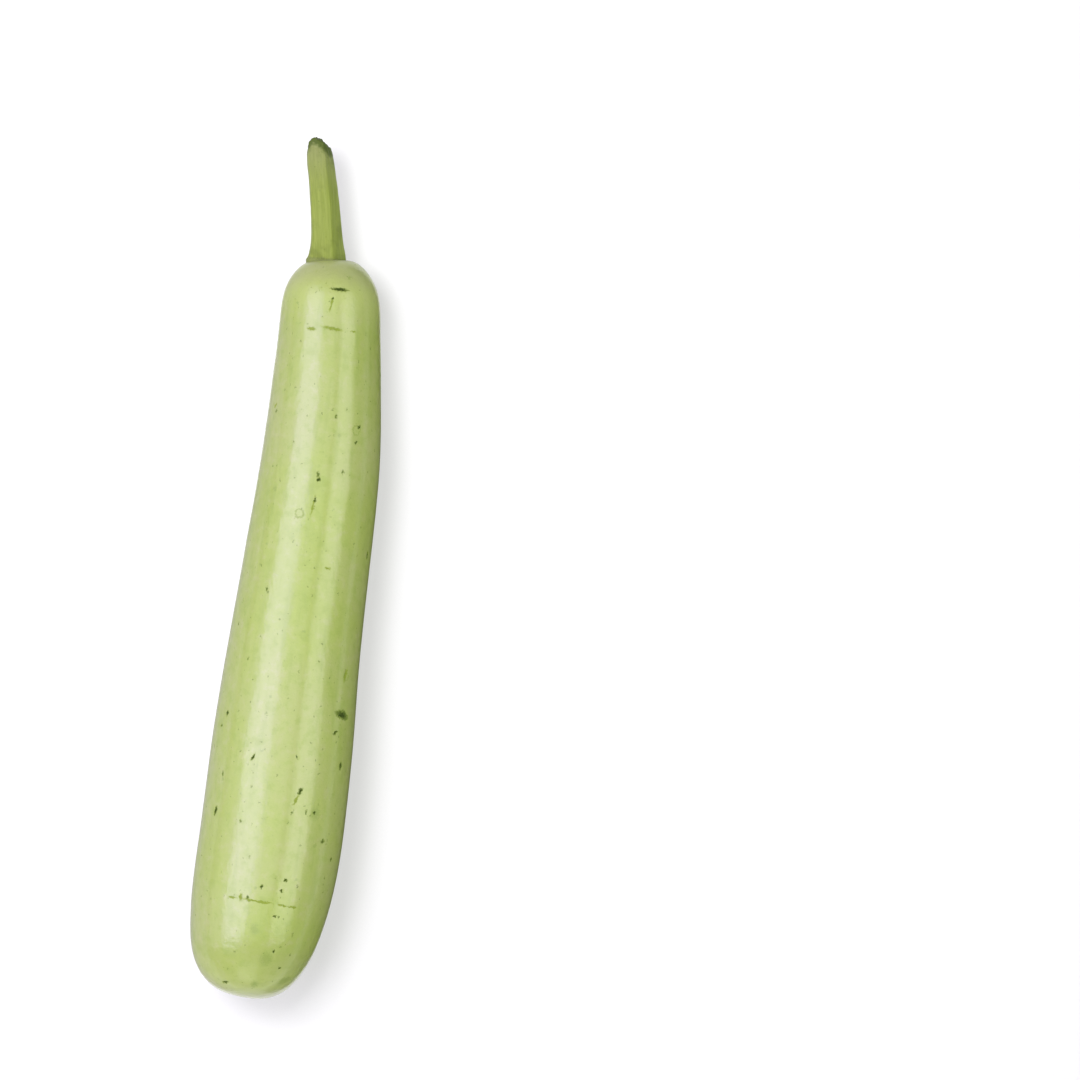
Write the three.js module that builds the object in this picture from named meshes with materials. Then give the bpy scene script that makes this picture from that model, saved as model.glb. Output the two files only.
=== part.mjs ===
// A bottle gourd, picked and laid on its side: the fruit, and the cut stem that it hung from.
//
// Units are millimetres and +Z is up. +Y runs along the fruit from its blossom end to its stem end, and
// +X is the side that its neck bows towards. The origin is on the surface that the fruit rests on, under
// the middle of the whole gourd's box.
import * as THREE from "three";

// --- Driving dimensions, measured along the straight line from the blossom end to the stem's seat ---

const FRUIT_LENGTH = 302; // from the tip of the blossom end to the seat of the stem
const STEM_LENGTH = 48.5; // from the seat to the cut end
const HEIGHT_SHARE = 0.965; // the fruit is a little lower than it is wide
const PRESSED_DEPTH = 0.5; // how much of its round underside is flattened where it lies

// Half the fruit's width and the bow of its middle line towards +X, at stations from the blossom end.
const HALF_WIDTHS = [
  [0, 29.0],
  [60, 29.1],
  [100, 28.9],
  [140, 27.4],
  [180, 26.0],
  [220, 24.5],
  [250, 22.6],
  [275, 20.9],
  [302, 20.9],
];
const BOWS = [
  [0, -4.1],
  [15, -3.6],
  [32, -1.5],
  [60, 0.8],
  [100, 1.7],
  [140, 2.2],
  [180, 3.6],
  [220, 4.9],
  [260, 3.6],
  [285, 2.0],
  [302, 0.2],
];

// Each end is rounded like a quarter of a superellipse: how far it reaches in, and how blunt it is.
const BLOSSOM_END = { reach: 70, bluntness: 3.0 };
const SHOULDER = { reach: 32, bluntness: 2.4 };
const SHOULDER_CUT = 1.9; // how far the flat seat lies below the point where the shoulder would close
const BLOSSOM_SCAR = { radius: 4.5, depth: 0.6 }; // the dimple that the flower left

// The stem: half its width from the seat to the cut end, as shares of its length.
const STEM_HALF_WIDTHS = [
  [0, 7.9],
  [0.06, 7.1],
  [0.2, 6.4],
  [0.45, 6.0],
  [0.7, 5.6],
  [0.88, 5.2],
  [0.95, 4.2],
  [1, 2.4],
];
const STEM_RIBS = 5;
const STEM_RIB_DEPTH = 0.05; // as a share of the stem's half width
const STEM_SIDESTEP = -1.8; // the stem stands a little off the middle of its seat
const STEM_LEAN = [-8.9, 4.0]; // how far its cut end leans over, towards -X and upwards
const STEM_STRAIGHT = 0.45; // the share of its length that it leaves along the fruit's own line
const SEAT_GAP = 0.3; // clear space between the stem's foot and its seat

const FRUIT_SIDES = 40;
const FRUIT_RINGS = 60;
const STEM_SIDES = 20;
const STEM_RINGS = 22;

const UP = new THREE.Vector3(0, 0, 1);

// --- Curves ---

// A smooth function through pairs of [place, value].
function smoothThrough(pairs) {
  const spline = new THREE.CubicInterpolant(
    pairs.map(([place]) => place),
    pairs.map(([, value]) => value),
    1,
  );
  return (place) => spline.evaluate(place)[0];
}

const halfWidthAt = smoothThrough(HALF_WIDTHS);
const bowAt = smoothThrough(BOWS);

// The share of the full width that is left this far in from the tip of a rounded end.
function roundedEnd(distance, { reach, bluntness }) {
  const left = Math.max(0, 1 - distance / reach);
  return Math.pow(1 - Math.pow(left, bluntness), 1 / bluntness);
}

// The fruit's middle line. It lies at the height that puts the underside on the ground all along.
class FruitSpine extends THREE.Curve {
  getPoint(share, target = new THREE.Vector3()) {
    const along = share * FRUIT_LENGTH;
    const height = halfWidthAt(along) * HEIGHT_SHARE - PRESSED_DEPTH;
    return target.set(bowAt(along), along, height);
  }
}

// --- Turned shapes, bent along a curve ---

// Moves a shape turned about +Y so that its axis follows the curve and its sections stay square to it.
function bendAlong(geometry, curve, length) {
  const places = geometry.attributes.position;
  const turned = new THREE.Vector3();
  for (let i = 0; i < places.count; i++) {
    turned.fromBufferAttribute(places, i);
    const share = THREE.MathUtils.clamp(turned.y / length, 0, 1);
    const tangent = curve.getTangent(share);
    const side = new THREE.Vector3().crossVectors(tangent, UP).normalize();
    const lift = new THREE.Vector3().crossVectors(side, tangent);
    const place = curve
      .getPoint(share)
      .addScaledVector(side, turned.x)
      .addScaledVector(lift, turned.z)
      .addScaledVector(tangent, turned.y - share * length);
    places.setXYZ(i, place.x, place.y, place.z);
  }
  return geometry;
}

// --- The fruit ---

// The fruit's outline from the blossom end's tip, up its side and in across the stem's seat.
function fruitOutline() {
  const outline = [new THREE.Vector2(0, BLOSSOM_SCAR.depth)];
  for (let ring = 1; ring <= FRUIT_RINGS; ring++) {
    const share = (1 - Math.cos((Math.PI * ring) / FRUIT_RINGS)) / 2; // rings are closer at both ends
    const along = share * FRUIT_LENGTH;
    const radius =
      halfWidthAt(along) *
      roundedEnd(along, BLOSSOM_END) *
      roundedEnd(FRUIT_LENGTH + SHOULDER_CUT - along, SHOULDER);
    const dimple =
      BLOSSOM_SCAR.depth * Math.exp(-((radius / BLOSSOM_SCAR.radius) ** 2));
    outline.push(new THREE.Vector2(radius, along + dimple));
  }
  outline.push(new THREE.Vector2(0, FRUIT_LENGTH));
  return outline;
}

function makeFruit() {
  const shape = new THREE.LatheGeometry(fruitOutline(), FRUIT_SIDES);
  shape.scale(1, 1, HEIGHT_SHARE);
  bendAlong(shape, new FruitSpine(), FRUIT_LENGTH);
  const places = shape.attributes.position;
  for (let i = 0; i < places.count; i++) {
    places.setZ(i, Math.max(0, places.getZ(i))); // the underside pressed flat
  }
  shape.computeVertexNormals();
  const skin = new THREE.MeshStandardMaterial({
    color: 0xbccd84,
    roughness: 0.38,
    metalness: 0,
  });
  const fruit = new THREE.Mesh(shape, skin);
  fruit.name = "fruit";
  return fruit;
}

// --- The stem ---

// The stem's middle line: off its seat along the fruit's own line, then leaning over.
function stemCurve() {
  const spine = new FruitSpine();
  const forward = spine.getTangent(1);
  const side = new THREE.Vector3().crossVectors(forward, UP).normalize();
  const foot = spine
    .getPoint(1)
    .addScaledVector(side, STEM_SIDESTEP)
    .addScaledVector(forward, SEAT_GAP);
  const end = foot
    .clone()
    .add(new THREE.Vector3(STEM_LEAN[0], STEM_LENGTH, STEM_LEAN[1]));
  const knee = foot
    .clone()
    .addScaledVector(forward, STEM_LENGTH * STEM_STRAIGHT);
  return new THREE.QuadraticBezierCurve3(foot, knee, end);
}

function stemOutline() {
  const halfWidth = smoothThrough(STEM_HALF_WIDTHS);
  const outline = [new THREE.Vector2(0, 0)];
  for (let ring = 0; ring <= STEM_RINGS; ring++) {
    const share = ring / STEM_RINGS;
    outline.push(new THREE.Vector2(halfWidth(share), share * STEM_LENGTH));
  }
  outline.push(new THREE.Vector2(0, STEM_LENGTH));
  return outline;
}

function makeStem() {
  const shape = new THREE.LatheGeometry(stemOutline(), STEM_SIDES);
  const places = shape.attributes.position;
  for (let i = 0; i < places.count; i++) {
    const around = Math.atan2(places.getX(i), places.getZ(i));
    const rib = 1 + STEM_RIB_DEPTH * Math.cos(STEM_RIBS * around);
    places.setX(i, places.getX(i) * rib);
    places.setZ(i, places.getZ(i) * rib);
  }
  bendAlong(shape, stemCurve(), STEM_LENGTH);
  shape.computeVertexNormals();
  const rind = new THREE.MeshStandardMaterial({
    color: 0x9cac5c,
    roughness: 0.6,
    metalness: 0,
  });
  const stem = new THREE.Mesh(shape, rind);
  stem.name = "stem";
  return stem;
}

// --- The whole gourd, set down with its origin under the middle of its box ---

const gourd = new THREE.Group();
gourd.add(makeFruit(), makeStem());
const box = new THREE.Box3().setFromObject(gourd);
const middle = box.getCenter(new THREE.Vector3());
gourd.position.set(-middle.x, -middle.y, -box.min.z);

export default gourd;
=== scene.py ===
# %% [markdown]
# # A bottle gourd
#
# A long bottle gourd lies on white paper: one fruit, and the stump of the stem that it hung from.
# The solids that it is built around are right in size and place, but they are plain. This lesson
# gives them their looks: a fine skin with its dents and waves, a ribbed stem with a torn end, and
# the finish of both. Every length is in metres, +Z is up, and +Y runs from the blossom end of the
# fruit to its stem.

# %% Load the frame
import math

import bmesh
import bpy
import numpy as np
from mathutils import Matrix, Vector, noise
from mathutils.bvhtree import BVHTree


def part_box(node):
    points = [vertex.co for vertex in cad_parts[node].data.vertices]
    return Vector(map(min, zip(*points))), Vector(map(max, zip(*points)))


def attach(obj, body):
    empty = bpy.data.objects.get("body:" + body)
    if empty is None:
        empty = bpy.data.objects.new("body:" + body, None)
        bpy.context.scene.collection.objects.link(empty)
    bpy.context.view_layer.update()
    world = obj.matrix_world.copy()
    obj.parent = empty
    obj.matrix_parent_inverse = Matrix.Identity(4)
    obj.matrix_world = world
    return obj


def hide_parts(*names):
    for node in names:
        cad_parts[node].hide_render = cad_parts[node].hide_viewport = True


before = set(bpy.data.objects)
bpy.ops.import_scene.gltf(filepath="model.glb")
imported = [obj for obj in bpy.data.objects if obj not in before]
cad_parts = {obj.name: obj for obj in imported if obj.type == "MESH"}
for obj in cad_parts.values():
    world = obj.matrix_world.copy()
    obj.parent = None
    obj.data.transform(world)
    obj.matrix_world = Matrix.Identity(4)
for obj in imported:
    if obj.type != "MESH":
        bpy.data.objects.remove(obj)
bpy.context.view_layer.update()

MM = 0.001
FRUIT_LOW, FRUIT_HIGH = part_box("fruit")
STEM_LOW, STEM_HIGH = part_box("stem")
print("fruit", [round(side / MM, 1) for side in FRUIT_HIGH - FRUIT_LOW], "mm")
print("stem", [round(side / MM, 1) for side in STEM_HIGH - STEM_LOW], "mm")

# %% [markdown]
# ## Reading the solids
#
# A new surface has to lie on the solid that it stands for, so the solid is measured first. A plane
# held across the gourd cuts the solid's edges, and the outermost cuts give the middle of the
# gourd there and how wide and high it is. A list of widths typed in by hand would do too, but it
# would go wrong as soon as the solid changed.

# %% Cut a solid across
def edges_of(node):
    """Both ends of every edge of a solid, as two arrays of points."""
    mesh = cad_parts[node].data
    points = np.array([corner.co for corner in mesh.vertices])
    pairs = np.array([edge.vertices[:] for edge in mesh.edges])
    return points[pairs[:, 0]], points[pairs[:, 1]]


def section(edges, y):
    """The middle of a solid where a plane across it at y cuts it, and half its width and height."""
    start, end = edges
    crosses = (start[:, 1] - y) * (end[:, 1] - y) < 0
    start, end = start[crosses], end[crosses]
    share = (y - start[:, 1]) / (end[:, 1] - start[:, 1])
    cuts = start + share[:, None] * (end - start)
    low, high = cuts.min(axis=0), cuts.max(axis=0)
    return (low + high) / 2, (high[0] - low[0]) / 2, (high[2] - low[2]) / 2


BELLY_FROM_BLOSSOM = 80 * MM
NECK_FROM_SHOULDER = 30 * MM

fruit_edges = edges_of("fruit")
belly = section(fruit_edges, FRUIT_LOW.y + BELLY_FROM_BLOSSOM)
neck = section(fruit_edges, FRUIT_HIGH.y - NECK_FROM_SHOULDER)
print("belly", round(2 * belly[1] / MM, 1), "mm wide, neck", round(2 * neck[1] / MM, 1), "mm wide")

# %% [markdown]
# ## The skin, drawn over the fruit
#
# A fruit's skin is one closed sheet with no corner in it. The solid has flat facets a few
# millimetres across, and each would show as a flat patch in a highlight. One way to be rid of them
# is a subdivision surface, but its squares would be long and thin in the middle of the fruit. So
# the skin is a new net of even squares instead: rays go out from the middle line of the fruit to a
# rounded copy of the solid, square to the line along the body and fanned out inside both ends, as
# ribs are in a basket. The net is then relaxed a little, which takes out the last of the facets.

# %% A rounded copy of the solid, to draw on
WELD = 0.005 * MM
ROUNDING = 2  # subdivision steps


def rounded_solid(node):
    """A tree of the faces of a solid whose facets have been rounded off."""
    shape = bmesh.new()
    shape.from_mesh(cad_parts[node].data)
    bmesh.ops.remove_doubles(shape, verts=shape.verts, dist=WELD)
    bmesh.ops.join_triangles(
        shape,
        faces=shape.faces,
        angle_face_threshold=math.radians(30),
        angle_shape_threshold=math.radians(60),
    )
    mesh = bpy.data.meshes.new("rounded")
    shape.to_mesh(mesh)
    shape.free()
    draft = bpy.data.objects.new("rounded", mesh)
    bpy.context.scene.collection.objects.link(draft)
    rounding = draft.modifiers.new("rounding", "SUBSURF")
    rounding.levels = ROUNDING
    tree = BVHTree.FromObject(draft, bpy.context.evaluated_depsgraph_get())
    bpy.data.objects.remove(draft)
    bpy.data.meshes.remove(mesh)
    return tree


fruit_tree = rounded_solid("fruit")

# %% Cast the net
MESH_STEP = 0.78 * MM  # the side of a square along the fruit
SQUARES_AROUND = 210
BLOSSOM_REACH = belly[1]  # how far in from each end the rays fan out
SHOULDER_REACH = neck[1]
RELAXING = 12  # passes


def ray_starts():
    """Where each ring's rays start on the middle line, and how far they lean towards +Y."""
    ring_count = round(BLOSSOM_REACH * math.pi / 2 / MESH_STEP)
    first = FRUIT_LOW.y + BLOSSOM_REACH
    last = FRUIT_HIGH.y - SHOULDER_REACH
    starts = [(first, (ring / ring_count - 1) * math.pi / 2) for ring in range(1, ring_count)]
    ring_count = round((last - first) / MESH_STEP)
    starts += [(first + (last - first) * ring / ring_count, 0.0) for ring in range(ring_count)]
    ring_count = round(SHOULDER_REACH * math.pi / 2 / MESH_STEP)
    starts += [(last, ring / ring_count * math.pi / 2) for ring in range(ring_count)]
    return starts


def cast_net():
    """Points where the rays meet the rounded solid, ring by ring from the blossom end."""
    net = []
    for y, lean in ray_starts():
        middle = Vector(section(fruit_edges, y)[0])
        ring = []
        for column in range(SQUARES_AROUND):
            around = 2 * math.pi * column / SQUARES_AROUND
            ray = Vector(
                (
                    math.sin(around) * math.cos(lean),
                    math.sin(lean),
                    math.cos(around) * math.cos(lean),
                )
            )
            ring.append(fruit_tree.ray_cast(middle, ray)[0])
        net.append(ring)
    return np.array(net)


def past_the_ends(net):
    """The net with one more ring at each end: the first ring beyond the pole, half a turn round."""
    half_turn = net.shape[1] // 2
    before = np.roll(net[:1], half_turn, axis=1)
    after = np.roll(net[-1:], half_turn, axis=1)
    return np.concatenate([before, net, after])


def relaxed(net, passes):
    """The net with each point moved towards the middle of its neighbours."""
    for _ in range(passes):
        wider = past_the_ends(net)
        net = (wider[:-2] + 2 * net + wider[2:]) / 4
        net = (np.roll(net, 1, axis=1) + 2 * net + np.roll(net, -1, axis=1)) / 4
    return net


def outward(net):
    """The direction straight out of the net at each of its points."""
    wider = past_the_ends(net)
    along = wider[2:] - wider[:-2]
    across = np.roll(net, -1, axis=1) - np.roll(net, 1, axis=1)
    out = np.cross(across, along)
    return out / np.linalg.norm(out, axis=-1, keepdims=True)


net = relaxed(cast_net(), RELAXING)
out = outward(net)
print("skin net", net.shape[0], "rings of", net.shape[1], "squares")

# %% [markdown]
# ## Waves in the skin
#
# No gourd is turned on a lathe. It swells where it has room and stays flat where it leaned on a
# leaf, by a few tenths of a millimetre over the width of a thumb. The eye can't see that in the
# outline, but it sees it in the highlights, whose edges wander. Smooth noise read at two sizes
# gives both the long waves and the small ones. They are moved into the mesh itself, so that
# they're there in any light.

# %% Add the waves
WAVES = [
    # size of the bumps, height
    (46 * MM, 0.34 * MM),
    (16 * MM, 0.13 * MM),
    (6 * MM, 0.040 * MM),
]
WAVE_STRETCH = 0.5  # waves are longer along the fruit than across it


def waves(points):
    """How far the skin stands out at each point, from smooth noise at each size."""
    heights = np.zeros(points.shape[:2])
    for number, (size, height) in enumerate(WAVES):
        shift = Vector((10 * number + 7, 0, 0))
        places = points / size * np.array((1, WAVE_STRETCH, 1))
        bumps = [noise.noise(Vector(place) + shift) for place in places.reshape(-1, 3)]
        heights += height * np.array(bumps).reshape(heights.shape)
    return heights


swell = waves(net)

# %% [markdown]
# ## The two ends
#
# The flower dried and fell off the blossom end. It left a small round scar in a dimple, with a low
# swelling round it and faint folds that run into it. At the other end the shoulder dips a little
# where the stem comes out. These are worked out from the distance to a point, so they stay round
# whatever the net does near its poles. The blossom end also leans a little towards +X, and the
# shoulder is a little fuller than the solid. Those two go by the distance along the fruit.

# %% Shape the blossom end and the stem's seat
BLOSSOM_SWELLING = {"height": 0.55 * MM, "radius": 8.5 * MM}
BLOSSOM_DIMPLE = {"height": -0.9 * MM, "radius": 2.4 * MM}
BLOSSOM_FOLDS = {"height": 0.09 * MM, "radius": 5.5 * MM, "count": 9}
BLOSSOM_LEAN = {"height": 1.5 * MM, "radius": 14 * MM}  # how far the end leans towards +X
SEAT_DIP = {"height": -0.55 * MM, "radius": 11 * MM}
SHOULDER_FULLNESS = {"height": 0.55 * MM, "radius": 9 * MM}
SHOULDER_FROM_TOP = 13 * MM
FOLD_START = 2 * MM  # nearer the tip than this, the folds fade out
SEAT_SECTION = 2 * MM  # how far up the stem its foot is measured

blossom_tip = net[0].mean(axis=0)
stem_edges = edges_of("stem")
stem_foot = section(stem_edges, STEM_LOW.y + SEAT_SECTION)[0]


def hill(distance, shape):
    """A round hill or hollow that fades with distance."""
    return shape["height"] * np.exp(-((distance / shape["radius"]) ** 2))


from_tip = np.linalg.norm(net - blossom_tip, axis=-1)
turn = np.arctan2(net[..., 0] - blossom_tip[0], net[..., 2] - blossom_tip[2])
folds = np.cos(BLOSSOM_FOLDS["count"] * turn) * (1 - np.exp(-((from_tip / FOLD_START) ** 2)))
swell += hill(from_tip, BLOSSOM_SWELLING) + hill(from_tip, BLOSSOM_DIMPLE)
swell += hill(from_tip, BLOSSOM_FOLDS) * folds
swell += hill(np.linalg.norm(net - stem_foot, axis=-1), SEAT_DIP)
swell += hill(FRUIT_HIGH.y - SHOULDER_FROM_TOP - net[..., 1], SHOULDER_FULLNESS)
net[..., 0] += hill(net[..., 1] - FRUIT_LOW.y, BLOSSOM_LEAN)

# %% [markdown]
# ## Scars and specks
#
# A gourd that has hung among leaves carries their marks: dark scabs where the skin was nicked,
# green lines where it was scratched, rings with a darker rim where a drop dried or an insect sat,
# and soft stains. A row gives a mark's place first: how far along the fruit it lies from the blossom
# end, in millimetres, and how far round from the top, in degrees, towards +X. Its length and width
# follow, in millimetres, and its turn, the angle between its length and the fruit's.
#
# The marks, their sizes and their turns were picked one by one, but most of the places weren't typed in
# by hand. Separate programs worked them out from the picks, and some were moved by eye afterwards.
# Every mark is also pressed into the mesh, which shows where it is wider than the mesh's squares.

# %% List the marks
SCABS = [
    # along, around, length, width, turn
    (288.8, 12.8, 7.2, 1.5, 90),
    (285.0, 4.5, 1.4, 0.9, 10),
    (234.4, 42, 1.9, 1.4, 20),
    (227.9, 39, 1.5, 1.2, 0),
    (211.5, 4, 1.7, 1.3, 30),
    (203.4, 3, 1.8, 1.0, 5),
    (183.1, 74, 3.4, 1.2, 0),
    (118.2, 58, 8.4, 3.2, -76),
    (114.4, -54, 1.9, 1.6, 0),
    (109.0, -60, 1.4, 1.4, 0),
    (111.1, 51, 3.0, 1.3, 60),
    (97.8, 62, 3.4, 1.8, 5),
    (100.3, 17, 1.8, 0.6, -20),
    (98.6, -20, 3.2, 1.0, 25),
    (86.9, 23, 3.0, 1.7, 25),
    (78.6, 38, 1.4, 1.2, 0),
    (75.0, -52, 3.8, 1.5, 15),
    (67.2, 50, 2.2, 1.9, 40),
    (59.9, 65, 1.5, 1.5, 0),
    (51.0, 21, 1.6, 1.2, 40),
    (47.4, 2, 2.0, 0.9, 10),
    (46.6, 19, 1.8, 0.9, -40),
    (36.2, 17, 1.6, 0.7, 80),
    (36.0, 21, 1.0, 0.8, 0),
    (21.7, 24, 1.4, 1.2, 0),
    (14.8, 37, 1.2, 1.2, 0),
    (6.6, -22, 3.0, 1.4, 70),
]
SCRATCHES = [
    (282.4, 3.4, 5.8, 0.9, 8),
    (271.9, -19, 4.0, 1.3, 90),
    (272.8, 7, 7.8, 1.4, 95),
    (272.6, 31, 2.4, 0.7, 92),
    (239.7, -59, 2.4, 1.0, 40),
    (200.7, 2, 8.5, 0.9, 8),
    (176.5, 24, 2.6, 0.9, 90),
    (134.2, 58, 5.5, 2.0, 15),
    (83.2, 20, 4.6, 1.1, 24),
    (41.9, -21, 3.6, 0.7, 90),
    (41.6, 0, 12.5, 0.9, 94),
    (40.6, 22, 3.6, 0.7, 94),
    (40.2, 31, 4.4, 0.7, 94),
    (42.6, -14, 3.0, 1.4, 0),
]
RINGS = [
    (232.9, 39, 4.6, 3.9, 20),
    (197.3, -10, 4.0, 4.0, 0),
    (133.7, 59, 3.6, 3.0, 0),
]
STAINS = [
    (206.2, -41, 2.4, 2.0, 0),
    (230.1, 20, 2.0, 1.6, 0),
    (78.2, 39, 6.0, 5.0, 0),
    (65.1, 42, 1.8, 1.8, 0),
    (46.8, -3, 1.8, 1.2, 0),
    (51.4, 30, 2.0, 1.2, 60),
    (88.1, -48, 1.8, 1.4, 0),
    (83.4, -27, 1.2, 1.2, 0),
    (101.6, -13, 2.0, 1.2, 60),
    (123.3, -12, 1.6, 1.4, 0),
    (150.4, 10, 1.9, 1.2, 90),
    (175.2, -43, 1.4, 1.4, 0),
    (183.7, -39, 1.5, 1.2, 0),
    (199.9, 22, 1.3, 1.0, 0),
    (273.5, -61, 1.4, 1.2, 0),
    (273.9, -34, 1.6, 0.9, 60),
    (281.7, -40, 2.2, 0.9, -40),
    (287.2, -28, 1.2, 1.2, 0),
    (294.1, 27, 2.4, 1.6, 30),
    (30.1, 2, 5.5, 4.0, 0),
    (18.3, 19, 6.5, 6.0, 0),
    (9.5, 53, 7.0, 4.0, 60),
    (7.3, 16, 4.0, 3.0, 0),
]

# %% Find each mark's place on the skin
TIP_MARGIN = 1 * MM  # the solid isn't measured nearer its blossom end than this

skin_points = net.reshape(-1, 3)
skin_outward = out.reshape(-1, 3)


def placed(mark):
    """A mark's middle, its axes (along its length, its width and outward) and its half sizes."""
    along, around, length, width, turn_angle = mark
    y = blossom_tip[1] + along * MM
    middle = Vector(section(fruit_edges, max(y, FRUIT_LOW.y + TIP_MARGIN))[0])
    ray = Vector((math.sin(math.radians(around)), 0, math.cos(math.radians(around))))
    near = fruit_tree.ray_cast(Vector((middle.x, y, middle.z)), ray)[0]
    nearest = int(((skin_points - np.array(near)) ** 2).sum(axis=1).argmin())
    up = Vector(skin_outward[nearest])
    forward = Vector((0, 1, 0))
    forward = (forward - forward.dot(up) * up).normalized()
    sideways = forward.cross(up)
    angle = math.radians(turn_angle)
    lengthways = math.cos(angle) * forward + math.sin(angle) * sideways
    widthways = up.cross(lengthways)
    axes = Matrix((lengthways, widthways, up)).transposed()
    return near, axes, length * MM / 2, width * MM / 2


marks = {
    "scabs": [placed(mark) for mark in SCABS],
    "scratches": [placed(mark) for mark in SCRATCHES],
    "rings": [placed(mark) for mark in RINGS],
    "stains": [placed(mark) for mark in STAINS],
}
print("marks", {kind: len(places) for kind, places in marks.items()})

# %% Press them into the skin
MARK_DEPTHS = {"scabs": 0.22 * MM, "scratches": 0.10 * MM, "rings": 0.12 * MM, "stains": 0.04 * MM}
PRESS_REACH = 1.6  # a hollow ends at this squared distance, counted in half sizes of the mark


def pressed(place, depth):
    """A hollow in the shape of a mark, as deep as given in its middle."""
    middle, axes, half_length, half_width = place
    offset = (net - np.array(middle)) @ np.array(axes)
    reach = (offset[..., 0] / half_length) ** 2 + (offset[..., 1] / half_width) ** 2
    reach += (offset[..., 2] / half_length) ** 2
    return -depth * np.clip(1 - reach / PRESS_REACH, 0, 1) ** 2


for kind, depth in MARK_DEPTHS.items():
    for place in marks[kind]:
        swell += pressed(place, depth)

skin_net = net + out * swell[..., None]
skin_net[..., 2] = np.maximum(skin_net[..., 2], 0)
print("skin stands", round(swell.min() / MM, 2), "to", round(swell.max() / MM, 2), "mm off the solid")

# %% [markdown]
# ## From a net to a mesh
#
# A net is a table of points. Squares join each ring to the next, and a fan of triangles closes
# each pole. The fruit and the stem are both made this way, so it is one function.

# %% Sew a net into a closed mesh
def sewn(name, points, first_pole, last_pole):
    """A smooth closed mesh from a net of rings and a point beyond each end."""
    rings, columns = points.shape[:2]
    corners = [tuple(point) for point in points.reshape(-1, 3)]
    corners += [tuple(first_pole), tuple(last_pole)]
    start, end = rings * columns, rings * columns + 1
    faces = []
    for column in range(columns):
        beside = (column + 1) % columns
        faces.append((start, column, beside))
        for ring in range(rings - 1):
            low, high = ring * columns, (ring + 1) * columns
            faces.append((low + column, high + column, high + beside, low + beside))
        top = (rings - 1) * columns
        faces.append((top + column, end, top + beside))
    mesh = bpy.data.meshes.new(name)
    mesh.from_pydata(corners, [], faces)
    mesh.shade_smooth()
    mesh.update()
    piece = bpy.data.objects.new(name, mesh)
    bpy.context.scene.collection.objects.link(piece)
    return piece


fruit = sewn("gourd_fruit", skin_net, skin_net[0].mean(axis=0), skin_net[-1].mean(axis=0))
print("fruit mesh", len(fruit.data.polygons), "faces")

# %% [markdown]
# ## The stem
#
# The stem is a stiff green vine stalk with five flat sides, which twists very slightly as it
# grows. Fibres run along it and show as fine ridges. It swells at the foot, where its edge is
# ragged and lies on the shoulder, and it was snapped off rather than cut, so the far end is
# torn, hollow and dry. It is one net again: rings strung along the middle line of its solid, each
# pushed in and out by the sides, the fibres, the foot and the tear. The tear is a slanted cut with
# a ragged edge. How close each point lies to that edge is kept on the mesh, for its finish.

# %% Measure the stem
STATIONS = 90
FOOT_MARGIN = 3.2 * MM  # the foot is cut on a slant, so the first whole section is this far up
END_MARGIN = 0.3 * MM
FOOT_STATIONS = 20  # the foot goes on in the direction that these have

station_y = np.linspace(STEM_LOW.y + FOOT_MARGIN, STEM_HIGH.y - END_MARGIN, STATIONS)
sections = [section(stem_edges, y) for y in station_y]
stations = np.array([[*middle, half_w, half_h] for middle, half_w, half_h in sections])


def eased(values, reach=4):
    """A list of values with its corners rounded off, by the mean of each one's neighbours."""
    ends_kept = np.pad(values, reach, mode="edge")
    return np.convolve(ends_kept, np.ones(2 * reach + 1) / (2 * reach + 1), "valid")


line_x, _, line_z, line_w, line_h = [eased(column) for column in stations.T]
stem_lean = math.atan2(line_x[0] - line_x[-1], station_y[-1] - station_y[0])
foot_lean = np.polyfit(station_y[:FOOT_STATIONS], line_x[:FOOT_STATIONS], 1)[0]
foot_rise = np.polyfit(station_y[:FOOT_STATIONS], line_z[:FOOT_STATIONS], 1)[0]
print("stem", round(2 * line_w[STATIONS // 2] / MM, 1), "mm thick at mid length")

# %% Shape its sides
STEM_RINGS = 220
STEM_COLUMNS = 156
SIDES = 5
FIRST_CORNER = math.radians(22)  # how far round from the top one of its corners runs
TWIST = math.radians(5)
FLATNESS = 0.6  # 0 is round and 1 has flat sides
WAVINESS = 0.0375  # how far the round outline swells at a corner and dips beside it
MEAN_REACH = 0.93  # about the mean of the mixed outline
STEM_BUMPS = [
    # height, noise scale around, noise scale along, seed
    (0.13 * MM, 5.5, 0.07, 3),  # fibres
    (0.05 * MM, 13, 0.16, 11),  # fine fibres
    (0.12 * MM, 1.2, 0.2, 29),  # bruises
]
FLARE = {"height": 1.0 * MM, "reach": 2.4 * MM, "left": 0.7}  # it spreads most on the left
FLARE_LOBES = [(0.6, 2.5, 19), (0.4, 9, 23)]  # strength, noise scale around, seed
STEM_LENGTH = STEM_HIGH.y - STEM_LOW.y


def stem_noise(around, along, across_scale, along_scale, seed):
    """Smooth noise on the stem that has no seam where its angle wraps round."""
    x = math.sin(around) * across_scale + seed
    z = math.cos(around) * across_scale
    return noise.noise(Vector((x, along / MM * along_scale, z)))


def lobes_round(around, lobes):
    """The sum of a few sizes of noise that change only with the angle round the stem."""
    return sum(strength * stem_noise(around, 0, scale, 0, seed) for strength, scale, seed in lobes)


def five_sided(around):
    """How far out a five-sided stem reaches at an angle, where its mean is about 1."""
    side = 2 * math.pi / SIDES
    from_middle = around % side - side / 2
    flat = math.cos(side / 2) / math.cos(from_middle)
    wavy = 1 - WAVINESS * (1 + math.cos(SIDES * from_middle))
    return (FLATNESS * flat + (1 - FLATNESS) * wavy) / MEAN_REACH


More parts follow.
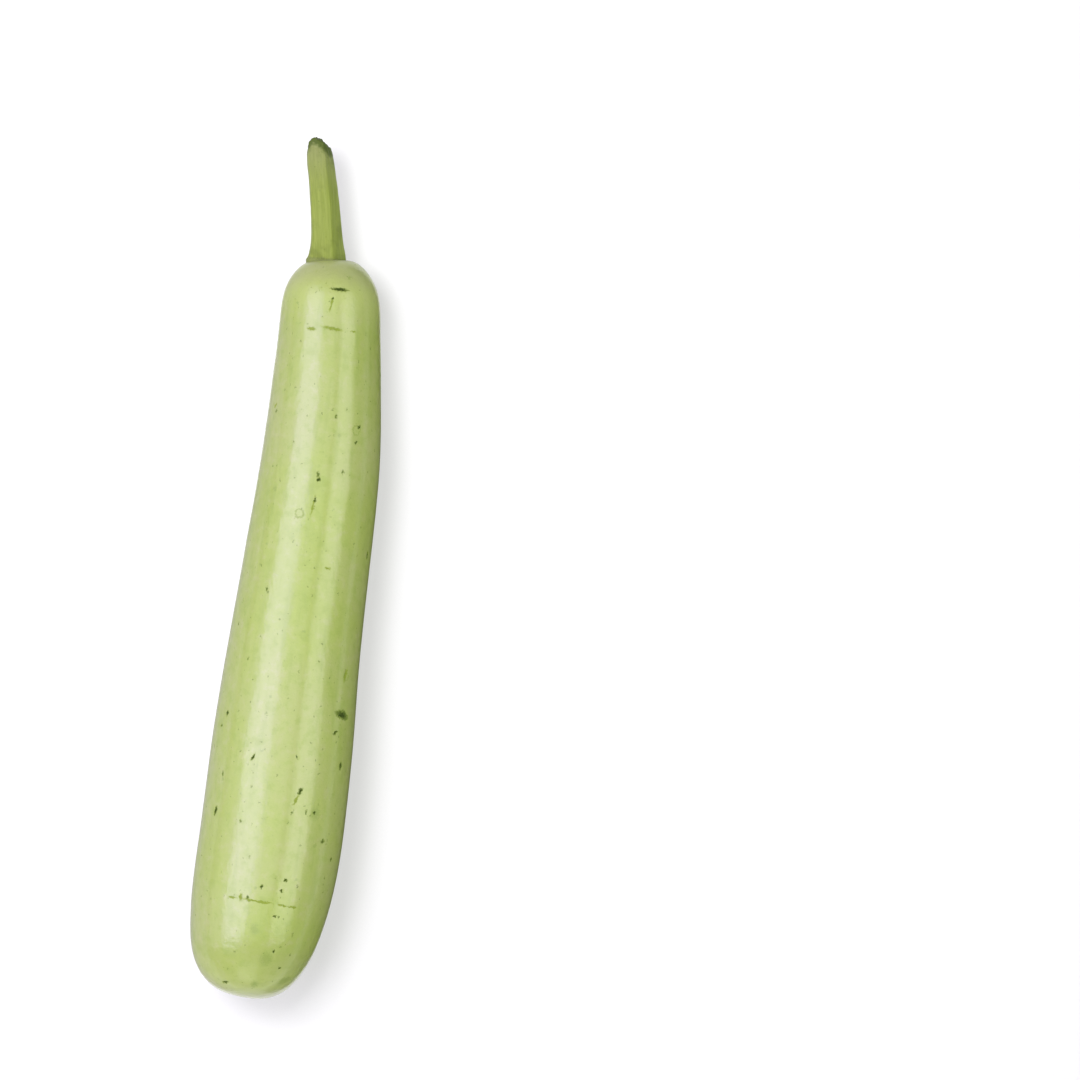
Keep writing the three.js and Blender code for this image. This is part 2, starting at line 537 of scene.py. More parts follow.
def relief(around, along):
    """How far the fibres, the foot's flare and the bruises stand out."""
    bumps = sum(
        height * stem_noise(around, along, across_scale, along_scale, seed)
        for height, across_scale, along_scale, seed in STEM_BUMPS
    )
    spread = 1 + lobes_round(around, FLARE_LOBES) - FLARE["left"] * math.sin(around)
    return bumps + FLARE["height"] * spread * math.exp(-max(along, 0) / FLARE["reach"])


# %% Shape its torn end
TEAR_REACH = 13 * MM  # how far from the end the tear still bends the sides
PEAK = -1.9 * MM  # the highest point of the torn end lies this far from the middle
LEFT_SLOPE = 0.7
LEFT_CURVE = 0.28 / MM
RIGHT_SLOPE = 0.25
RIGHT_CURVE = 0.05 / MM
FACE_SLOPE = 0.28  # how far the torn face leans back, so that it shows from above
JAG = 0.55 * MM
JAG_LOBES = [(1.0, 2.6, 41), (0.8, 8, 47)]  # strength, noise scale around, seed
JAG_LIFT = 0.8  # how far, in jags, the whole tear is moved out
TEAR_HALF_WIDTH = 5.2 * MM
TEAR_BEND = 1.5  # above 1, the bending of the sides gathers towards the end
EVEN_LENGTH = 5 * MM  # the stem doesn't get any thinner over this last stretch


def torn(around, share=1.0):
    """How far the torn end stops short of the stem's whole length. Share is 1 at its rim."""
    across = share * TEAR_HALF_WIDTH * math.sin(around) - PEAK
    slope, curve = (RIGHT_SLOPE, RIGHT_CURVE) if across > 0 else (LEFT_SLOPE, LEFT_CURVE)
    short = slope * abs(across) + curve * across**2
    short += FACE_SLOPE * TEAR_HALF_WIDTH * (1 + share * math.cos(around)) / 2
    return short + JAG * (share * lobes_round(around, JAG_LOBES) - JAG_LIFT)


def stem_point(around, along):
    """A point on the stem's side, at an angle round it and a distance from its foot."""
    near_end = max(0.0, 1 - (STEM_LENGTH - along) / TEAR_REACH)
    y = STEM_LOW.y + along - torn(around) * near_end**TEAR_BEND
    below = min(y - station_y[0], 0)
    x = np.interp(y, station_y, line_x) + foot_lean * below
    z = np.interp(y, station_y, line_z) + foot_rise * below
    held = min(y, STEM_HIGH.y - EVEN_LENGTH)
    half_w, half_h = np.interp(held, station_y, line_w), np.interp(held, station_y, line_h)
    corner = around - FIRST_CORNER - TWIST * along / STEM_LENGTH
    shape = five_sided(corner)
    bump = relief(around, along)
    side = (half_w * shape + bump) * math.sin(around)
    up = (half_h * shape + bump) * math.cos(around)
    return (x + side, y, z + up)


# %% Build the stem
FOOT_SINK = 3.0 * MM  # the foot reaches this far into the seat
DRY_REACH = 2.8 * MM  # the dried rim fades over this distance, and twice as far on the right
RIM_STEP = 6  # the distance to the rim is measured to every sixth of its points
FACE_ROUGHNESS = 0.25 * MM
FACE_SPAN = 9 * MM  # how far apart in the noise the rim and the middle of the torn face lie
FACE_RINGS = [
    # share of the rim's size, depth below the rim
    (0.97, -0.10 * MM),
    (0.92, -0.06 * MM),
    (0.86, 0.10 * MM),
    (0.79, 0.30 * MM),
    (0.70, 0.45 * MM),
    (0.60, 0.55 * MM),
    (0.48, 0.80 * MM),
    (0.36, 1.20 * MM),
    (0.22, 1.60 * MM),
    (0.10, 1.75 * MM),
]

angles = [2 * math.pi * column / STEM_COLUMNS for column in range(STEM_COLUMNS)]
distances = np.linspace(-FOOT_SINK, STEM_LENGTH, STEM_RINGS)
sides = np.array([[stem_point(around, along) for around in angles] for along in distances])
rim = sides[-1]
rim_middle = rim.mean(axis=0)
face = []
for share, depth in FACE_RINGS:
    rough = np.array([stem_noise(around, share * FACE_SPAN, 4, 1.0, 61) for around in angles])
    ring = rim_middle + (rim - rim_middle) * share
    ring[:, 1] = rim[:, 1] - depth - FACE_ROUGHNESS * rough
    ring[:, 1] += [torn(around) - torn(around, share) for around in angles]
    face.append(ring)
stem_net = np.concatenate([sides, np.array(face)])
stem = sewn("gourd_stem", stem_net, stem_net[0].mean(axis=0), stem_net[-1].mean(axis=0))

to_rim = np.linalg.norm(sides[:, :, None] - rim[None, None, ::RIM_STEP], axis=-1).min(axis=-1)
dry_reach = DRY_REACH * (1 + np.clip(np.sin(angles), 0, 1))
dryness = np.concatenate([np.exp(-to_rim / dry_reach), np.ones((len(FACE_RINGS), STEM_COLUMNS))])
dryness = np.append(dryness.reshape(-1), (0.0, 1.0))
stem.data.attributes.new("dryness", "FLOAT", "POINT").data.foreach_set("value", dryness)
print("stem mesh", len(stem.data.polygons), "faces")

# %% [markdown]
# ## Colours and nodes
#
# Colours are easier to pick as they look on a screen, as hex values, but the shader counts light
# in linear amounts, so one function turns the first into the second. A second function adds a
# node with its settings and joins its inputs, so that each finish below reads as a list of steps.

# %% Helpers for finishes
def linear(hex_colour):
    """A screen colour such as #BCCD84 as linear red, green, blue and alpha."""
    channels = [int(hex_colour[place : place + 2], 16) / 255 for place in (1, 3, 5)]
    return [c / 12.92 if c <= 0.04045 else ((c + 0.055) / 1.055) ** 2.4 for c in channels] + [1.0]


def add(tree, kind, inputs, **settings):
    """Adds a node, applies its settings, and fills each input with a value or a link."""
    node = tree.nodes.new("ShaderNode" + kind)
    for name, value in settings.items():
        setattr(node, name, value)
    for name, value in inputs.items():
        if isinstance(value, bpy.types.NodeSocket):
            tree.links.new(value, node.inputs[name])
        else:
            node.inputs[name].default_value = value
    return node.outputs


def new_finish(name):
    """An empty material and its node tree."""
    finish = bpy.data.materials.new(name)
    finish.use_nodes = True
    finish.node_tree.nodes.clear()
    return finish, finish.node_tree


MIX_SHARE, MIX_UNDER, MIX_OVER, MIX_RESULT = 0, 6, 7, 2  # the colour sockets of a Mix node


def layered(tree, ground, layers):
    """Lays colours over a ground, each through a mask.

    A layer is the mask's value, where it starts and where it is full, its strength and its colour.
    """
    for value, start, full, strength, colour in layers:
        limits = {"Value": value, "From Min": start, "From Max": full, "To Max": strength}
        mask = add(tree, "MapRange", limits, interpolation_type="SMOOTHSTEP")["Result"]
        sockets = {MIX_SHARE: mask, MIX_UNDER: ground, MIX_OVER: colour}
        ground = add(tree, "Mix", sockets, data_type="RGBA")[MIX_RESULT]
    return ground


def piled(tree, heights):
    """Adds up heights in metres. Each is a value and the height that a value of 1 stands for."""
    total = 0.0
    for value, height in heights:
        total = add(tree, "Math", {0: value, 1: height, 2: total}, operation="MULTIPLY_ADD")["Value"]
    return total

# %% [markdown]
# ## Finish 1: waxy gourd rind
#
# The rind is a living skin with a clear film of wax over pale green cells. The wax is what shines:
# it is fairly smooth, so lights show in it as soft bands, and its index of refraction is that of a
# plant's cuticle, about 1.5. Fine unevenness a few millimetres across frays the edges of those
# bands. Under the wax, light goes a few millimetres into the flesh and comes out again, which
# softens the shading. The green isn't even: it has broad paler and darker areas, mottling a few
# millimetres across, faint streaks along the fruit and dark pores. Both ends are greyer: partly the
# skin's own grey, and partly a painted grazing sheen, which reaches further in lower down so that it
# follows the outline.
#
# Broken skin has no wax on it. A scab that mirrored the lights would look pale and bluish, so a
# plain matt shader is mixed in at scabs, scratches, pores and the rims of rings. The wax is also
# thinner at the shoulder.

# %% Where the marks are
def mark_strength(tree, place_on_skin, places, spread):
    """1 in the middle of any of these marks, falling to 0 at its edge."""
    strongest = 0.0
    for middle, axes, half_length, half_width in places:
        size = (half_length * spread, half_width * spread, half_length * spread)
        inputs = {"Vector": place_on_skin, "Location": middle, "Rotation": axes.to_euler(), "Scale": size}
        local = add(tree, "Mapping", inputs, vector_type="TEXTURE")["Vector"]
        fade = add(tree, "TexGradient", {"Vector": local}, gradient_type="SPHERICAL")["Fac"]
        strongest = add(tree, "Math", {0: strongest, 1: fade}, operation="MAXIMUM")["Value"]
    return strongest


def dots(tree, place_on_skin, pitch, largest, rarity):
    """Above 0 inside scattered dots of mixed sizes, up to a largest radius. Rarity is 0 to 1."""
    cells = add(tree, "TexVoronoi", {"Vector": place_on_skin, "Scale": 1 / pitch})
    chance = add(tree, "SeparateColor", {"Color": cells["Color"]})["Red"]
    limits = {"Value": chance, "From Min": rarity, "From Max": 1.0, "To Max": largest / pitch}
    radius = add(tree, "MapRange", limits)["Result"]
    return add(tree, "Math", {0: radius, 1: cells["Distance"]}, operation="SUBTRACT")["Value"]

# %% Pick the rind's colours and sizes
RIND_GREEN = linear("#95A64C")
RIND_PALE = linear("#99A65B")
RIND_FRESH = linear("#879D3C")
RIND_CREAM = linear("#A3A96D")
RIND_STREAK = linear("#869A42")
RIND_LIGHT = linear("#A7B566")
# painted sheen: this grey is partly the ends' own grey and partly a painted grazing reflection
RIND_GREY_AND_PAINTED_SHEEN = linear("#9AA168")
PORE_GREEN = linear("#54682A")
SCAB_DARK = linear("#37461A")
SCRATCH_GREEN = linear("#7E9030")
STAIN_GREEN = linear("#7F9440")
RIM_GREEN = linear("#7F9342")

TONE_SIZE = 34 * MM
MOTTLE_SIZE = 4.5 * MM
GRAIN_SIZE = 1.5 * MM
STREAK_WIDTH = 3.2 * MM
RAGGED_SIZE = 0.9 * MM  # how large the ragged edges of marks and dots are
RAGGED_REACH = 2.0 * MM
RELIEF_SIZE = 2.6 * MM
RELIEF_HEIGHT = 0.13 * MM
PEEL_SIZE = 0.8 * MM
PEEL_HEIGHT = 0.030 * MM
SCAB_DEPTH = 0.10 * MM
CRUMB_SIZE = 0.5 * MM
END_REACH = 9 * MM  # over how far the grey of each end fades out
LIGHT_REACH = 26 * MM
# the grey reaches further in lower down so that it follows the outline, where it is painted reflection
UNDER_REACH = 0.5  # how much further in the grey reaches for each millimetre down
WAX_AT_SHOULDER = 0.45
WANDER = 9 * MM  # how far the mottling shifts the edges of what changes towards the ends
# where the grey and the painted sheen at each end are strongest
SHOULDER_GREY_AND_SHEEN = 19 * MM  # how far in from each end the skin is greyest
BLOSSOM_GREY_AND_SHEEN = 24 * MM
LIGHTEST_AT = 8 * MM  # from the blossom end
THINNEST_WAX_AT = 6 * MM  # from the top of the shoulder
STREAK_SQUEEZE = 0.07  # the smaller, the longer the streaks
PORE_SQUEEZE = 0.55
SMALL_PORES = {"pitch": 2.0 * MM, "largest": 0.34 * MM, "rarity": 0.20}
PORES = {"pitch": 5.0 * MM, "largest": 0.65 * MM, "rarity": 0.45}
MARK_SPREADS = {"scabs": 1.3, "scratches": 1.3, "rings": 1.2, "stains": 1.4}  # in sizes of the mark
RING_RIM = 0.28  # the strength of a ring's mark where its rim lies, and half the rim's width
RING_RIM_HALF_WIDTH = 0.14
CRUMB_STRENGTH = 2.0
SMOOTHEST, ROUGHEST = 0.34, 0.48

# %% Mix the rind
def waxy_rind():
    """Pale green cells under a clear film of wax, with the marks that a gourd picks up."""
    finish, tree = new_finish("waxy_gourd_rind")
    place = add(tree, "TexCoord", {})["Object"]
    shake = add(tree, "TexNoise", {"Vector": place, "Scale": 1 / RAGGED_SIZE, "Detail": 4.0})["Color"]
    shake = add(tree, "VectorMath", {0: shake, 1: (0.5, 0.5, 0.5)}, operation="SUBTRACT")["Vector"]
    reach = (RAGGED_REACH, RAGGED_REACH, RAGGED_REACH)
    ragged = add(tree, "VectorMath", {0: shake, 1: reach, 2: place}, operation="MULTIPLY_ADD")["Vector"]

    tone = add(tree, "TexNoise", {"Vector": place, "Scale": 1 / TONE_SIZE, "Detail": 3.0})["Fac"]
    mottle = add(tree, "TexNoise", {"Vector": ragged, "Scale": 1 / MOTTLE_SIZE, "Detail": 4.0})["Fac"]
    grain = add(tree, "TexNoise", {"Vector": place, "Scale": 1 / GRAIN_SIZE, "Detail": 3.0})["Fac"]
    drawn_out = add(tree, "Mapping", {"Vector": place, "Scale": (1, STREAK_SQUEEZE, 1)})["Vector"]
    streaks = add(tree, "TexNoise", {"Vector": drawn_out, "Scale": 1 / STREAK_WIDTH, "Detail": 3.0})["Fac"]
    squeezed = add(tree, "Mapping", {"Vector": ragged, "Scale": (1, PORE_SQUEEZE, 1)})["Vector"]
    small_pores = dots(tree, squeezed, **SMALL_PORES)
    pores = dots(tree, squeezed, **PORES)

    crumbs = add(tree, "TexNoise", {"Vector": place, "Scale": 1 / CRUMB_SIZE, "Detail": 3.0})["Fac"]
    crumbs = add(tree, "Math", {0: crumbs, 1: CRUMB_STRENGTH}, operation="MULTIPLY")["Value"]

    _, y, z = add(tree, "SeparateXYZ", {"Vector": place}).values()
    wander = add(tree, "Math", {0: mottle, 1: WANDER, 2: y}, operation="MULTIPLY_ADD")["Value"]
    up = add(tree, "Math", {0: z, 1: -UNDER_REACH, 2: wander}, operation="MULTIPLY_ADD")["Value"]
    down = add(tree, "Math", {0: z, 1: UNDER_REACH, 2: wander}, operation="MULTIPLY_ADD")["Value"]
    at_shoulder = FRUIT_HIGH.y - SHOULDER_GREY_AND_SHEEN
    at_blossom = FRUIT_LOW.y + BLOSSOM_GREY_AND_SHEEN

    scabs = mark_strength(tree, ragged, marks["scabs"], MARK_SPREADS["scabs"])
    scabs = add(tree, "Math", {0: scabs, 1: crumbs}, operation="MULTIPLY")["Value"]
    scratches = mark_strength(tree, ragged, marks["scratches"], MARK_SPREADS["scratches"])
    scratches = add(tree, "Math", {0: scratches, 1: crumbs}, operation="MULTIPLY")["Value"]
    rings = mark_strength(tree, ragged, marks["rings"], MARK_SPREADS["rings"])
    stains = mark_strength(tree, ragged, marks["stains"], MARK_SPREADS["stains"])
    stains = add(tree, "Math", {0: stains, 1: crumbs}, operation="MULTIPLY")["Value"]
    rim = {0: rings, 1: RING_RIM, 2: RING_RIM_HALF_WIDTH}
    ring_rims = add(tree, "Math", rim, operation="COMPARE")["Value"]

    colour = layered(
        tree,
        RIND_GREEN,
        [
            (tone, 0.35, 0.68, 1.0, RIND_PALE),
            (mottle, 0.50, 0.72, 0.50, RIND_FRESH),
            (mottle, 0.48, 0.28, 0.48, RIND_CREAM),
            (streaks, 0.50, 0.78, 0.4, RIND_STREAK),
            (wander, FRUIT_HIGH.y - LIGHT_REACH, FRUIT_HIGH.y, 0.85, RIND_LIGHT),
            (wander, FRUIT_LOW.y + LIGHT_REACH, FRUIT_LOW.y + LIGHTEST_AT, 0.85, RIND_LIGHT),
            # painted sheen: greyer at both ends, partly the skin's own grey and partly painted reflection
            # along the outline
            (up, at_shoulder - END_REACH, at_shoulder, 0.6, RIND_GREY_AND_PAINTED_SHEEN),
            (down, at_blossom + END_REACH, at_blossom, 0.5, RIND_GREY_AND_PAINTED_SHEEN),
            (grain, 0.55, 0.80, 0.40, RIND_STREAK),
            (small_pores, -0.04, 0.08, 0.6, PORE_GREEN),
            (pores, -0.05, 0.00, 0.35, PORE_GREEN),
            (pores, 0.00, 0.05, 0.8, PORE_GREEN),
            (stains, 0.05, 0.80, 0.65, STAIN_GREEN),
            (ring_rims, 0.0, 1.0, 0.5, RIM_GREEN),
            (scratches, 0.0, 0.60, 0.85, SCRATCH_GREEN),
            (scabs, 0.0, 0.35, 0.75, PORE_GREEN),
            (scabs, 0.30, 0.70, 0.95, SCAB_DARK),
        ],
    )

    relief_noise = add(tree, "TexNoise", {"Vector": place, "Scale": 1 / RELIEF_SIZE, "Detail": 2.0})["Fac"]
    peel = add(tree, "TexNoise", {"Vector": place, "Scale": 1 / PEEL_SIZE, "Detail": 2.0})["Fac"]
    height = piled(
        tree,
        [
            (relief_noise, RELIEF_HEIGHT),
            (peel, PEEL_HEIGHT),
            (scabs, -SCAB_DEPTH),
            (scratches, -SCAB_DEPTH),
        ],
    )
    bump = add(tree, "Bump", {"Height": height, "Distance": 1.0})["Normal"]
    limits = {
        "Value": mottle,
        "From Min": 0.3,
        "From Max": 0.7,
        "To Min": SMOOTHEST,
        "To Max": ROUGHEST,
    }
    rough = add(tree, "MapRange", limits)["Result"]
    bare_share = 0.0
    for mask, start, end, most in (  # the mask's value where bare skin starts and where most is bare
        (scabs, 0.0, 0.25, 0.95),
        (scratches, 0.0, 0.40, 0.80),
        (ring_rims, 0.0, 1.0, 0.50),
        (small_pores, -0.03, 0.03, 0.50),
        (pores, -0.03, 0.02, 0.90),
    ):
        limits = {"Value": mask, "From Min": start, "From Max": end, "To Max": most}
        share = add(tree, "MapRange", limits)["Result"]
        bare_share = add(tree, "Math", {0: bare_share, 1: share}, operation="MAXIMUM")["Value"]
    limits = {
        "Value": wander,
        "From Min": FRUIT_HIGH.y - LIGHT_REACH,
        "From Max": FRUIT_HIGH.y - THINNEST_WAX_AT,
        "To Min": 1.0,
        "To Max": WAX_AT_SHOULDER,
    }
    wax = add(tree, "MapRange", limits)["Result"]

    skin = {
        "Base Color": colour,
        "Roughness": rough,
        "IOR": 1.5,
        "Normal": bump,
        "Subsurface Weight": 0.12,
        "Subsurface Radius": (1.0, 1.0, 0.35),
        "Subsurface Scale": 3 * MM,
        "Coat Weight": wax,
        "Coat Roughness": 0.18,
        "Coat IOR": 1.5,
        "Coat Normal": bump,
    }
    waxed = add(tree, "BsdfPrincipled", skin)["BSDF"]
    bare = add(tree, "BsdfDiffuse", {"Color": colour, "Roughness": 0.6, "Normal": bump})["BSDF"]
    shader = add(tree, "MixShader", {0: bare_share, 1: waxed, 2: bare})["Shader"]
    add(tree, "OutputMaterial", {"Surface": shader})
    return finish


rind = waxy_rind()
print("rind", len(rind.node_tree.nodes), "nodes")

# %% [markdown]
# ## Finish 2: green vine stem
#
# The stem is tougher than the rind. Its skin has no wax to speak of but a short down, which
# catches light at its edges and greys them, so the finish is matt with a little sheen. Fibres make
# streaks of light and dark green along it. Near the torn end the tissue has dried and gone dark.
# The edge of the foot is painted duller and darker: partly its own bark-like tissue, and partly
# painted shade where the foot meets the shoulder.

# %% Pick the stem's colours and sizes
STEM_GREEN = linear("#7A8934")
STEM_LIGHT = linear("#8B9943")
STEM_DARK = linear("#5F6C24")
STEM_DRY = linear("#46570F")
STEM_GREY = linear("#83875A")
# painted shade: the foot's band is partly bark-like tissue and partly painted shade where it meets the
# shoulder
STEM_BARK_AND_SHADE = linear("#6C7442")
FIBRE_PITCH = 0.8 * MM
FIBRE_STRETCH = 20
BLOTCH_SIZE = 6 * MM
UNEVEN_SIZE = 1.2 * MM
STEM_SPECKS = {"pitch": 1.5 * MM, "largest": 0.3 * MM, "rarity": 0.3}
GREY_FROM = 25 * MM  # how far up the stem it starts to grey
BARK_AND_SHADE_WANDER = 2.4 * MM
# how far up the stem the band of bark and painted contact shade ends, and where it is fullest
BARK_AND_SHADE_TOP, BARK_AND_SHADE_FULL = 2.6 * MM, 1.4 * MM  # how far up the stem the bark ends, and is at its fullest
FIBRE_RELIEF = 0.16 * MM
UNEVEN_RELIEF = 0.05 * MM

# %% Mix the stem
def vine_stem():
    """Fibrous green stalk with short down, dried dark at its torn end."""
    finish, tree = new_finish("green_vine_stem")
    place = add(tree, "TexCoord", {})["Object"]
    grow = {"Vector": place, "Rotation": (0, 0, stem_lean), "Scale": (1, FIBRE_STRETCH, 1)}
    drawn_out = add(tree, "Mapping", grow, vector_type="TEXTURE")["Vector"]
    fibres = add(tree, "TexNoise", {"Vector": drawn_out, "Scale": 1 / FIBRE_PITCH, "Detail": 4.0})["Fac"]
    blotches = add(tree, "TexNoise", {"Vector": place, "Scale": 1 / BLOTCH_SIZE, "Detail": 5.0})["Fac"]
    specks = dots(tree, place, **STEM_SPECKS)
    x, y, _ = add(tree, "SeparateXYZ", {"Vector": place}).values()
    uneven = add(tree, "TexNoise", {"Vector": place, "Scale": 1 / UNEVEN_SIZE, "Detail": 3.0})["Fac"]
    foot = add(tree, "Math", {0: uneven, 1: BARK_AND_SHADE_WANDER, 2: y}, operation="MULTIPLY_ADD")["Value"]
    dryness = add(tree, "Attribute", {}, attribute_name="dryness")["Fac"]
    dry = add(tree, "Math", {0: uneven, 1: 0.5, 2: dryness}, operation="MULTIPLY_ADD")["Value"]
    colour = layered(
        tree,
        STEM_GREEN,
        [
            (fibres, 0.35, 0.70, 0.7, STEM_LIGHT),
            (y, STEM_LOW.y + GREY_FROM, STEM_HIGH.y, 0.6, STEM_GREY),
            (blotches, 0.52, 0.75, 0.5, STEM_DARK),
            (specks, -0.02, 0.06, 0.6, STEM_DARK),
            (dry, 0.55, 0.95, 0.95, STEM_DRY),
            # painted shade: darker at the foot where it meets the shoulder, with the foot's duller tissue
            (foot, STEM_LOW.y + BARK_AND_SHADE_TOP, STEM_LOW.y + BARK_AND_SHADE_FULL, 0.6, STEM_BARK_AND_SHADE),
        ],
    )
    height = piled(tree, [(fibres, FIBRE_RELIEF), (uneven, UNEVEN_RELIEF)])
    bump = add(tree, "Bump", {"Height": height, "Distance": 1.0})["Normal"]
    skin = {
        "Base Color": colour,
        "Roughness": 0.58,
        "IOR": 1.45,
        "Normal": bump,
        "Subsurface Weight": 0.05,
        "Subsurface Radius": (1.0, 1.0, 0.35),
        "Subsurface Scale": 1.5 * MM,
        "Specular IOR Level": 0.3,
        "Sheen Weight": 0.1,
        "Sheen Roughness": 0.45,
        "Sheen Tint": linear("#E6EAD0"),
    }
    shader = add(tree, "BsdfPrincipled", skin)["BSDF"]
    add(tree, "OutputMaterial", {"Surface": shader})
    return finish


stalk = vine_stem()
print("stem", len(stalk.node_tree.nodes), "nodes")

# %% [markdown]
# ## Dress the frame
#
# The new pieces take the place of the plain solids, ride on the same body and are given their
# finishes.

# %% Dress it
for piece, node, slot, finish in (
    (fruit, "fruit", "gourd_skin", rind),
    (stem, "stem", "gourd_stem", stalk),
):
    piece.data.materials.append(finish)
    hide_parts(node)
    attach(piece, "root")

# %% [markdown]
# ## A light table and soft boxes
#
# Fruit on white is often shot on a light table: a sheet of opal acrylic that glows from below, so
# that it stays white and only a soft shadow is left. Long soft boxes hang over the gourd and show
# in its wax as bands. The widest and brightest hangs on the -X side. A square one lights the
# blossom end. A small lamp of the table's own throws the shadow, so that its place and softness
# don't depend on the bands.

# %% Lay the light table
TABLE_SIDE = 6.0
TABLE_GLOW = 0.546
TOOTH_SIZE = 0.8 * MM


def opal_acrylic():
    """A pale satin sheet that glows evenly, with a very faint tooth."""
    finish, tree = new_finish("opal_acrylic")
    place = add(tree, "TexCoord", {})["Object"]
    tooth = add(tree, "TexNoise", {"Vector": place, "Scale": 1 / TOOTH_SIZE, "Detail": 2.0})["Fac"]
    colour = layered(tree, linear("#6B6B6B"), [(tooth, 0.3, 0.7, 1.0, linear("#6E6E6E"))])
    sheet = {
        "Base Color": colour,
        "Roughness": 0.9,
        "IOR": 1.49,
        "Emission Color": linear("#FFFFFF"),
        "Emission Strength": TABLE_GLOW,
    }
    shader = add(tree, "BsdfPrincipled", sheet)["BSDF"]
    add(tree, "OutputMaterial", {"Surface": shader})
    return finish


def flat_sheet(name, left, right, length, height, finish):
    """A flat sheet on the table, from left to right and as far to each side of the middle."""
    across = ((left, -length), (right, -length), (right, length), (left, length))
    corners = [(x, y, height) for x, y in across]
    mesh = bpy.data.meshes.new(name)
    mesh.from_pydata(corners, [], [(0, 1, 2, 3)])
    mesh.materials.append(finish)
    sheet = bpy.data.objects.new(name, mesh)
    bpy.context.scene.collection.objects.link(sheet)
    return sheet


table = flat_sheet("table", -TABLE_SIDE / 2, TABLE_SIDE / 2, TABLE_SIDE / 2, 0, opal_acrylic())

# %% [markdown]
# ## A backdrop
#
# From low down the eye looks past the table, so a round paper wall stands behind it. Only the
# camera sees it, and it is as pale as the far part of the table, so that the two run together.

# %% Stand the backdrop
WALL_RADIUS = 2.9
WALL_HEIGHT = 3.0
WALL_SEGMENTS = 96
WALL_GLOW = 0.6
WALL_SINK = 0.01  # its foot stands this far below the table

bpy.ops.mesh.primitive_cylinder_add(
    vertices=WALL_SEGMENTS, radius=WALL_RADIUS, depth=WALL_HEIGHT, end_fill_type="NOTHING"
)
wall = bpy.context.object
wall.name = "paper_wall"
wall.location.z = WALL_HEIGHT / 2 - WALL_SINK
paper, tree = new_finish("lit_paper")
glow = add(tree, "Emission", {"Color": linear("#FFFFFF"), "Strength": WALL_GLOW})["Emission"]
add(tree, "OutputMaterial", {"Surface": glow})
wall.data.materials.append(paper)
for ray in ("diffuse", "glossy", "shadow", "transmission"):
    setattr(wall, "visible_" + ray, False)
print("wall", WALL_RADIUS, "m away")

# %% [markdown]
# ## Cards for the wax to mirror
#
# Seen from above, the flanks of a shiny round thing mirror the table beside it. On a white table
# they turn pale and lose their shape. In a studio, grey and black cards are laid beside the thing
# to give it darker flanks. These two lie where only the wax sees them.

# %% Lay the cards
CARD_LENGTH = 0.3
CARD_HEIGHT = 0.5 * MM  # they lie this far above the table
CARDS = [
    # name, left, right, shade
    ("dark_card", 0.03, 0.25, "#242412"),
    ("grey_card", -0.25, -0.03, "#AAAAA4"),
]
for name, left, right, shade in CARDS:
    paint, tree = new_finish(name)
    board = add(tree, "BsdfPrincipled", {"Base Color": linear(shade), "Roughness": 0.9})["BSDF"]
    add(tree, "OutputMaterial", {"Surface": board})
    sheet = flat_sheet(name, left, right, CARD_LENGTH, CARD_HEIGHT, paint)
    for ray in ("camera", "diffuse", "shadow", "transmission"):
        setattr(sheet, "visible_" + ray, False)

# %% Hang the soft boxes
def soft_box(name, lean, distance, width, length, brightness, forward, tint="#FFFFFF"):
    """A flat light that faces the gourd. Lean is its angle from straight up, towards +X.

    Forward is how far it hangs towards the stem, or, below 0, towards the blossom end.
    """
    lamp = bpy.data.lights.new(name, "AREA")
    lamp.shape = "RECTANGLE"
    lamp.size = width
    lamp.size_y = length
    lamp.color = linear(tint)[:3]
    lamp.energy = brightness * math.pi * width * length
    box = bpy.data.objects.new(name, lamp)
    angle = math.radians(lean)
    box.location = (distance * math.sin(angle), forward, distance * math.cos(angle))
    box.rotation_euler = (0, angle, 0)
    box.visible_camera = False
    bpy.context.scene.collection.objects.link(box)
    return box


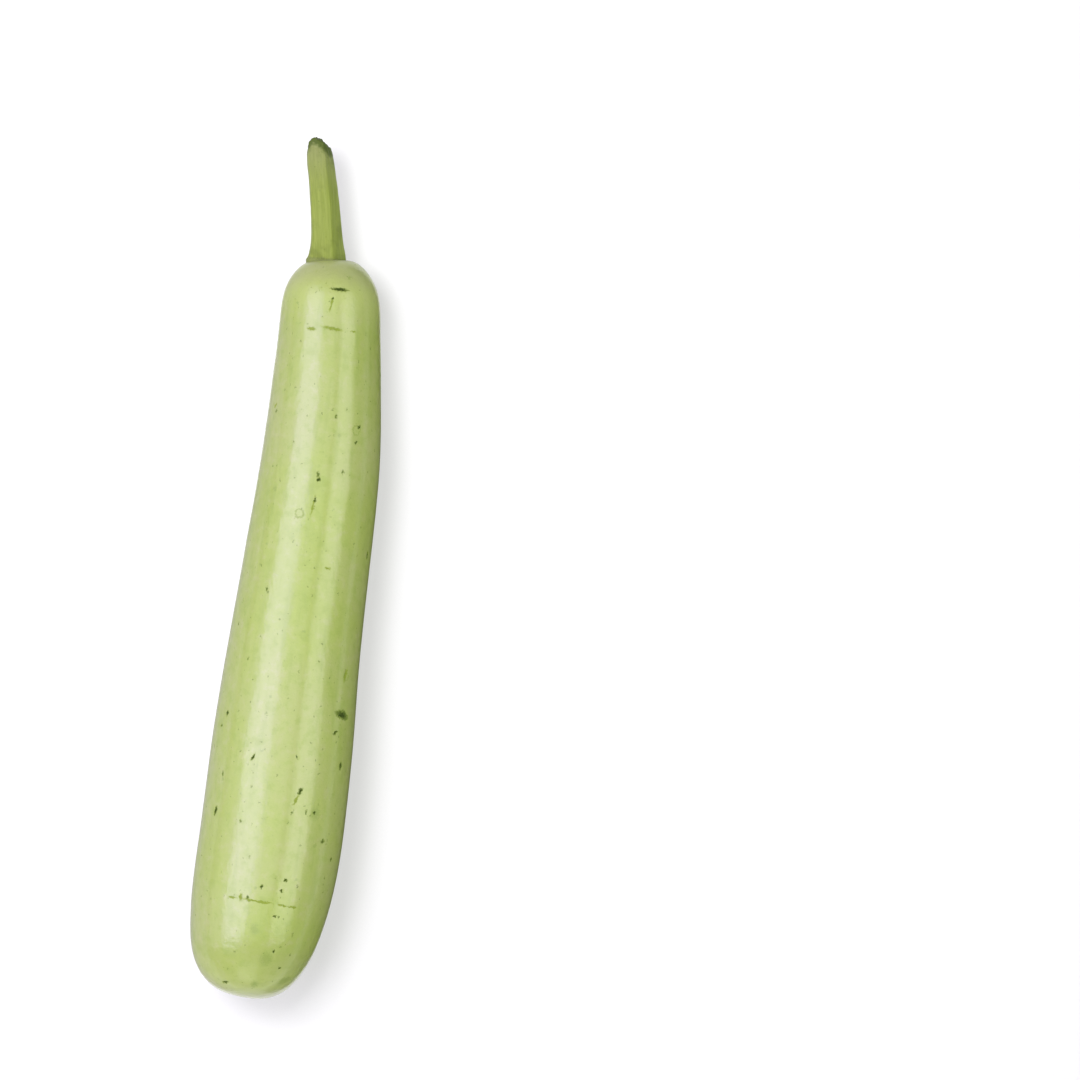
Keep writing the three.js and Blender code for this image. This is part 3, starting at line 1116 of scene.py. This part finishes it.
LONG_SOFT_BOXES = [
    # name, lean, distance, width, length, brightness, forward, tint
    ("key_soft_box", -33, 0.9, 0.66, 1.25, 4.3, 0.0, "#E8DCFF"),
    ("side_soft_box", -68, 0.9, 0.42, 1.25, 1.05, 0.0, "#FAFFF0"),
    ("top_soft_box", 3, 0.95, 0.5, 1.25, 1.5, 0.0, "#FAFFF0"),
    ("fill_soft_box", 42, 0.9, 0.5, 1.25, 2.65, 0.0, "#FFFFF6"),
]
for row in LONG_SOFT_BOXES:
    soft_box(*row)

# These two are turned to face the gourd's middle from where they hang.
end_soft_box = soft_box("end_soft_box", 0, 0.5, 0.5, 0.5, 0.8, -0.95)
table_lamp = soft_box("table_lamp", -14, 1.0, 0.42, 0.42, 41, 0.2)
for lamp in (end_soft_box, table_lamp):
    lamp.rotation_euler = (-lamp.location).to_track_quat("-Z", "Y").to_euler()
only_table = bpy.data.collections.new("only_table")
only_table.objects.link(table)
table_lamp.light_linking.receiver_collection = only_table

# %% Fill in the room
room = bpy.data.worlds.new("pale_room")
room.use_nodes = True
room.node_tree.nodes.clear()
background = add(room.node_tree, "Background", {"Color": linear("#FFFFFF"), "Strength": 0.2})
add(room.node_tree, "OutputWorld", {"Surface": background["Background"]})
bpy.context.scene.world = room
bpy.context.scene.view_settings.view_transform = "Standard"

# %% [markdown]
# ## The camera
#
# The camera looks straight down from above with a long lens, so that both ends of the gourd are
# seen alike. It is turned a few degrees, which makes the gourd lean, and stands off to one side, so
# that the gourd lies in the left third of the view.

# %% Set up the camera
LENS = 120
SENSOR = 36
VIEW_WIDTH = 439 * MM  # what the view takes in at the height of the gourd's widest line
VIEW_MIDDLE = Vector((96.3 * MM, 21.3 * MM, 28 * MM))
CAMERA_TURN = math.radians(5.95)

camera_data = bpy.data.cameras.new("camera")
camera_data.lens = LENS
camera_data.sensor_width = SENSOR
camera = bpy.data.objects.new("camera", camera_data)
camera.location = VIEW_MIDDLE + Vector((0, 0, VIEW_WIDTH * LENS / SENSOR))
camera.rotation_euler = (0, 0, CAMERA_TURN)
bpy.context.scene.collection.objects.link(camera)
bpy.context.scene.camera = camera
print("camera", round(camera.location.z, 2), "m up")
